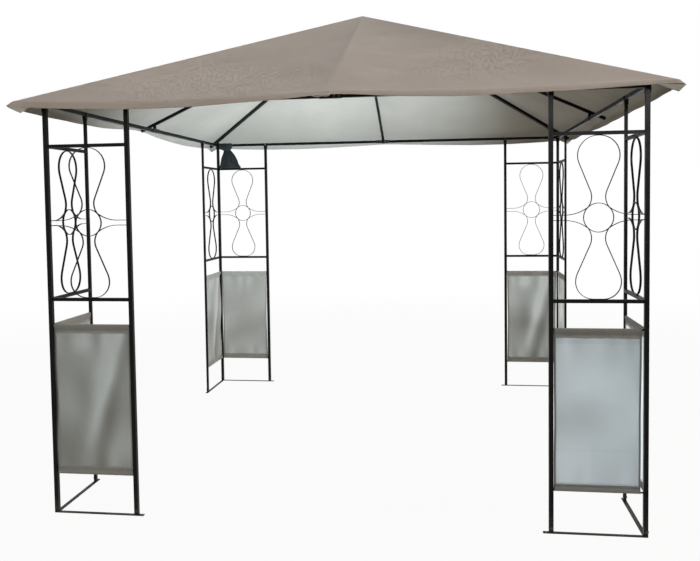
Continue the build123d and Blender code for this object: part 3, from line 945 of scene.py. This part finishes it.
def addClothPanel(nodeName, seed):
    low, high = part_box(nodeName)
    alongX = high.x - low.x > high.y - low.y
    start, end = (low.x, high.x) if alongX else (low.y, high.y)
    centre = (low.y + high.y) / 2 if alongX else (low.x + high.x) / 2
    middle, half = (start + end) / 2, (end - start) / 2
    path = sleevePath(clothPanelValues)
    lengths = np.concatenate([[0], np.cumsum(np.hypot(*np.diff(path, axis=0).T))])
    faceStart = clothPanelValues["rampPoints"] + clothPanelValues["turnPoints"]
    lengths = lengths - lengths[faceStart]
    share = np.linspace(-1, 1, clothPanelValues["columns"])
    shares, offsets = np.meshgrid(share, path[:, 0])
    heights = np.repeat(path[:, 1:], len(share), axis=1)
    t = heights - clothPanelValues["bottomRod"]
    rodSpacing = clothPanelValues["topRod"] - clothPanelValues["bottomRod"]
    midway = np.sin(np.pi * np.clip(t / rodSpacing, 0, 1))
    # each edge draws in by its own amounts at the foot, the middle and the
    # top, and bows in a little between the rods
    insets = clothPanelValues["edges"].get(nodeName, clothPanelValues["edges"]["others"])
    insetHeights = (0, clothPanelValues["insetMiddle"], rodSpacing)
    lowInset, highInset = (
        np.interp(t, insetHeights, inset) / 1000 + clothPanelValues["bow"] * midway
        for inset in insets
    )
    across = shares * half + np.where(shares < 0, -shares * lowInset, -shares * highInset)
    fold = foldField(across + seed, t, seed)
    pucker = puckers(shares, t, seed)
    # painted light and shade: the folds, the puckers and the long fold become lighter and darker
    # streaks in the light let through
    tone = clothPanelValues["tone"] + clothPanelValues["paintedFoldShade"] * fold
    tone = tone + clothPanelValues["puckerPaintedShade"] * pucker
    fold = fold + clothPanelValues["pucker"] * pucker
    if nodeName in clothPanelValues["longFolds"]:
        longest = longFold(shares, t)
        fold = fold + clothPanelValues["longFold"] * longest
        tone = tone + clothPanelValues["longFoldPaintedShade"] * longest
        # painted light: the cloth lets more light through towards the top
        tone = tone + clothPanelValues["paintedTopLight"] * (t / rodSpacing - 0.5)
    # the folds die out over the last bit of the way to each rod
    flat = centre + (np.sign(centre) * offsets + fold * smoothStep(midway * 6))
    along = middle + across
    points = np.stack([along, flat, heights] if alongX else [flat, along, heights], axis=-1)
    down = np.repeat(lengths[:, None], len(share), axis=1)
    uv = np.stack([shares * clothPanelValues["mapHalfWidth"] + seed, down], axis=-1)
    # the front right panel takes the lighter copy of its cloth: painted light
    material = paintedBacklitPanelCloth if nodeName.startswith("front_right") else panelCloth
    mesh = gridMesh(nodeName + "Sheet", points, uv, material)
    # the painted fold light and shade goes on each point as an attribute
    mesh.attributes.new("paintedFoldShade", "FLOAT", "POINT").data.foreach_set(
        "value", np.clip(tone, 0, 1).reshape(-1).astype(np.float32)
    )
    piece = addPiece(mesh, nodeName.replace("_cloth", "_panel"))
    thicken(piece, clothPanelValues["thickness"], offset=0.0)
    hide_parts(nodeName)


for seed, nodeName in enumerate(sorted(name for name in cadNodes if name.endswith("_cloth"))):
    addClothPanel(nodeName, seed + 3)
print("cloth panels made")


# Bag of slack dark cloth: it sits on the top rail, its neck is drawn in, and
# its mouth is wound round the beam and spreads in a tail beside it
bagValues = {
    # middle in x and y, height, half length, half thickness, depth of the folds
    "body": (
        (-1.298, 1.400, 1.8156, 0.052, 0.012, 0.00),
        (-1.298, 1.400, 1.8152, 0.088, 0.028, 0.02),
        (-1.298, 1.400, 1.820, 0.094, 0.031, 0.04),
        (-1.302, 1.400, 1.834, 0.083, 0.034, 0.07),
        (-1.307, 1.399, 1.852, 0.073, 0.036, 0.11),
        (-1.308, 1.399, 1.872, 0.068, 0.036, 0.14),
        (-1.311, 1.399, 1.893, 0.060, 0.034, 0.17),
        (-1.312, 1.399, 1.915, 0.051, 0.030, 0.21),
        (-1.312, 1.399, 1.937, 0.039, 0.025, 0.24),
        (-1.315, 1.398, 1.957, 0.029, 0.019, 0.26),
        (-1.321, 1.398, 1.970, 0.027, 0.017, 0.20),
        (-1.328, 1.398, 1.980, 0.031, 0.018, 0.16),
    ),
    "wrap": (
        (-1.318, 1.398, 1.958, 0.020, 0.013, 0.05),
        (-1.327, 1.398, 1.968, 0.034, 0.017, 0.14),
        (-1.340, 1.398, 1.978, 0.044, 0.021, 0.16),
        (-1.350, 1.399, 1.990, 0.050, 0.022, 0.15),
        (-1.354, 1.400, 2.003, 0.054, 0.022, 0.12),
        (-1.356, 1.400, 2.014, 0.055, 0.020, 0.12),
        (-1.357, 1.400, 2.022, 0.050, 0.014, 0.10),
        (-1.357, 1.400, 2.025, 0.030, 0.005, 0.05),
    ),
    "tail": (
        (-1.309, 1.394, 1.952, 0.008, 0.006, 0.05),
        (-1.304, 1.392, 1.964, 0.013, 0.008, 0.14),
        (-1.300, 1.390, 1.978, 0.019, 0.009, 0.20),
        (-1.298, 1.388, 1.992, 0.024, 0.010, 0.24),
        (-1.298, 1.388, 2.006, 0.027, 0.010, 0.24),
        (-1.299, 1.388, 2.018, 0.027, 0.009, 0.20),
        (-1.300, 1.389, 2.023, 0.022, 0.006, 0.10),
    ),
    "lift": 0.003,
    "mapRadius": 0.07,
}


def foldedLoft(name, rings, rows, columns, phase):
    # radius at angle q is the ring's ellipse times 1 + depth * folds(q), with
    # folds a sum of sines whose phase drifts with height; the rings are
    # joined by straight lines and smoothed three times
    rings = np.array(rings)
    at = np.linspace(0, len(rings) - 1, rows)
    ring = np.stack([np.interp(at, np.arange(len(rings)), column) for column in rings.T], axis=1)
    for _ in range(3):
        ring[1:-1] = (ring[:-2] + 2 * ring[1:-1] + ring[2:]) / 4
    middleX, middleY, height, halfLength, halfThickness, depth = (column[:, None] for column in ring.T)
    q = np.broadcast_to(np.linspace(0, 2 * np.pi, columns, endpoint=False), (rows, columns))
    rise = (height - height[0]) / (height[-1] - height[0])
    folds = (
        0.45 * np.sin(7 * q + 2.0 * rise + phase)
        + 0.35 * np.sin(12 * q + 1.1 - 3 * rise + 2 * phase)
        + 0.3 * np.sin(4 * q + 0.6 + rise)
    )
    size = 1 + depth * folds
    x = middleX + halfLength * np.cos(q) * size
    y = middleY + halfThickness * np.sin(q) * size
    z = height + bagValues["lift"] * np.sin(3 * q + 1 + phase) * np.sin(np.pi * rise)
    points = np.stack([x, y, z], axis=-1)
    mapRadius = bagValues["mapRadius"]
    uv = np.stack([q * mapRadius, np.broadcast_to(height, q.shape)], axis=-1)
    uv = np.concatenate([uv, uv[:, :1] + [2 * np.pi * mapRadius, 0]], axis=1)
    mesh = gridMesh(name, points, uv, bagCloth, closed=True)
    closeEnds(mesh)
    return mesh


def addBag():
    body = addPiece(foldedLoft("bagBody", bagValues["body"], 52, 112, 0), "tiedBag")
    wrap = addPiece(foldedLoft("bagWrap", bagValues["wrap"], 36, 80, 1.7), "bagWrap")
    tail = addPiece(foldedLoft("bagTail", bagValues["tail"], 30, 64, 0.6), "bagTail")
    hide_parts("tied_bag")


addBag()
print("bag made")


# Bolts: domed heads on the saddles, joiners, brackets and feet
boltHeadValues = {
    "washer": 0.0085,
    "headRadius": 0.0065,
    # heights above the face: foot and top of the washer, foot and start of
    # the dome, and top of the head
    "sunk": -0.001,
    "washerTop": 0.0008,
    "headFoot": 0.0010,
    "domeStart": 0.0012,
    "headHeight": 0.0042,
    "tip": 0.0002,
    # from the middle of a beam or a post to the face under its bolts
    "beamFace": 0.0122,
    "postFace": 0.0102,
    "slimPostFace": 0.0077,
    "legWidth": 0.412,
    "footHeight": 0.022,
    "joinerPlaces": (-0.042, -0.018, 0.018, 0.042),
}


def boltMesh(name, places):
    # each bolt is one half profile turned round its axis: washer then dome
    values = boltHeadValues
    washer, radius, domeStart = values["washer"], values["headRadius"], values["domeStart"]
    dome = np.linspace(0, np.pi / 2, 5)
    rise = domeStart + (values["headHeight"] - domeStart) * np.sin(dome)
    profile = np.concatenate([
        [[washer, values["sunk"]], [washer, values["washerTop"]], [radius, values["headFoot"]]],
        np.stack([radius * np.cos(dome), rise], axis=1),
    ])
    profile[-1, 0] = values["tip"]
    turn = np.linspace(0, 2 * np.pi, 16, endpoint=False)[None, :, None]
    rows, columns = len(profile), turn.size
    quads = gridQuads(rows, columns, True)
    cap = np.arange((rows - 1) * columns, rows * columns)
    points, faces, count = [], [], 0
    for centre, axis in places:
        axis = np.array(axis, float)
        first = np.cross(axis, (0, 0, 1) if abs(axis[2]) < 0.9 else (1, 0, 0))
        first /= np.linalg.norm(first)
        second = np.cross(axis, first)
        ring = profile[:, :1, None] * (np.cos(turn) * first + np.sin(turn) * second)
        bolt = np.array(centre) + ring + profile[:, 1:, None] * axis
        points.append(bolt.reshape(-1, 3))
        faces += (quads + count).tolist() + [(cap + count).tolist()]
        count += rows * columns
    mesh = bpy.data.meshes.new(name)
    mesh.from_pydata(np.concatenate(points).tolist(), [], faces)
    mesh.materials.append(boltCoat)
    mesh.shade_smooth()
    return mesh


def boltPlaces():
    beamFace, foot = boltHeadValues["beamFace"], boltHeadValues["footHeight"]
    postFace = halfSpacing + boltHeadValues["postFace"]
    slimPostFace = halfSpacing + boltHeadValues["slimPostFace"]
    free = halfSpacing - boltHeadValues["legWidth"]
    places = []
    for signX in (-1, 1):
        for signY in (-1, 1):
            cornerX, cornerY = signX * halfSpacing, signY * halfSpacing
            freeX, freeY = signX * free, signY * free
            for face in (-1, 1):
                places.append(((freeX, cornerY + face * beamFace, beamHeight), (0, face, 0)))
                places.append(((cornerX + face * beamFace, freeY, beamHeight), (face, 0, 0)))
            places.append(((cornerX, signY * postFace, foot), (0, signY, 0)))
            places.append(((freeX, signY * postFace, foot), (0, signY, 0)))
            places.append(((signX * postFace, cornerY, foot), (signX, 0, 0)))
            places.append(((signX * slimPostFace, freeY, foot), (signX, 0, 0)))
    for outX, outY in sides.values():
        for along in boltHeadValues["joinerPlaces"]:
            for face in (-1, 1):
                centre = (
                    outX * halfSpacing + face * outX * beamFace - outY * along,
                    outY * halfSpacing + face * outY * beamFace + outX * along,
                    beamHeight,
                )
                places.append((centre, (face * outX, face * outY, 0)))
    return places


addPiece(boltMesh("boltHeads", boltPlaces()), "boltHeads")
print("bolts made")


clothArea(canopy)


# Floor, soft lamps, and a white surround that only the camera and clear or
# shiny surfaces see as white
studioValues = {
    "floorRadius": 60,
    "floor": colour(170, 164, 154),
    # distances from the middle, and how white the floor is seen at each
    "floorReach": (3.0, 9.0),
    "floorWhite": (0.95, 1.0),
    "white": (1, 1, 1, 1),
    "ambient": 0.42,
    "ambientTint": (0.98, 0.985, 0.97, 1),
    # place, what it looks at, size, power, tint and spread of each lamp
    "lamps": {
        "keyLamp": ((7.0, -1.5, 3.9), (0, 0, 1.8), 3.4, 330, (1.0, 0.97, 0.91), 3.14),
        "bandLamp": ((1.2, -6.4, 2.45), (0, -1.5, 2.2), (3.6, 0.4), 6.2, (0.98, 0.99, 1.0), 0.36),
        "underLamp": ((1.0, -1.2, 0.12), (-0.95, 1.0, 2.3), 0.5, 22, (0.90, 1.05, 1.16), 1.2),
        "topLamp": ((-2.0, 2.0, 9.0), (0, 0, 1.5), 6.0, 60, (0.94, 1.0, 1.05), 3.14),
    },
}


def seenWhite(tree):
    # 1 on rays from the camera, through clear surfaces or off shiny ones
    path = addNode(tree, "ShaderNodeLightPath").outputs
    seen = mathNode(tree, "MAXIMUM", path["Is Camera Ray"], path["Is Transmission Ray"])
    return mathNode(tree, "MAXIMUM", seen, path["Is Glossy Ray"])


def makeFloor():
    bpy.ops.mesh.primitive_circle_add(
        vertices=64, radius=studioValues["floorRadius"], fill_type="NGON", location=(0, 0, 0),
    )
    floor = bpy.context.object
    floor.name = "studioFloor"
    material, tree = startMaterial("studioFloor")
    place = addNode(tree, "ShaderNodeTexCoord").outputs["Object"]
    away = addNode(tree, "ShaderNodeVectorMath", {0: place}, operation="LENGTH").outputs["Value"]
    whiteness = rampNode(tree, away, *studioValues["floorReach"], *studioValues["floorWhite"])
    matt = addNode(tree, "ShaderNodeBsdfDiffuse", {"Color": studioValues["floor"]}).outputs[0]
    white = addNode(tree, "ShaderNodeEmission", {"Color": studioValues["white"]}).outputs[0]
    share = multiply(tree, seenWhite(tree), whiteness)
    finishMaterial(tree, addNode(tree, "ShaderNodeMixShader", {0: share, 1: matt, 2: white}).outputs[0])
    floor.data.materials.append(material)


def makeWorld():
    world = bpy.data.worlds.new("studioWorld")
    world.use_nodes = True
    tree = world.node_tree
    tree.nodes.clear()
    soft = addNode(
        tree, "ShaderNodeBackground",
        {"Color": studioValues["ambientTint"], "Strength": studioValues["ambient"]},
    ).outputs[0]
    white = addNode(tree, "ShaderNodeBackground", {"Color": studioValues["white"]}).outputs[0]
    inputs = {0: seenWhite(tree), 1: soft, 2: white}
    surround = addNode(tree, "ShaderNodeMixShader", inputs).outputs[0]
    tree.links.new(surround, addNode(tree, "ShaderNodeOutputWorld").inputs["Surface"])
    bpy.context.scene.world = world


def addLamps():
    for name, (place, target, size, power, tint, spread) in studioValues["lamps"].items():
        light = bpy.data.lights.new(name, "AREA")
        if isinstance(size, tuple):
            light.shape = "RECTANGLE"
            light.size, light.size_y = size
        else:
            light.shape = "DISK"
            light.size = size
        light.energy = power
        light.color = tint
        light.spread = spread
        # the fill under the canopy throws no shadows of the rafters
        light.use_shadow = name != "underLamp"
        lamp = bpy.data.objects.new(name, light)
        lamp.visible_camera = False
        back = np.array(place) - np.array(target)
        back = back / np.linalg.norm(back)
        right = np.cross((0, 0, 1), back)
        right /= np.linalg.norm(right)
        setPlace(lamp, right, np.cross(back, right), back, place)
        bpy.context.scene.collection.objects.link(lamp)


makeFloor()
makeWorld()
addLamps()
bpy.context.scene.view_settings.view_transform = "Standard"
print("studio made")
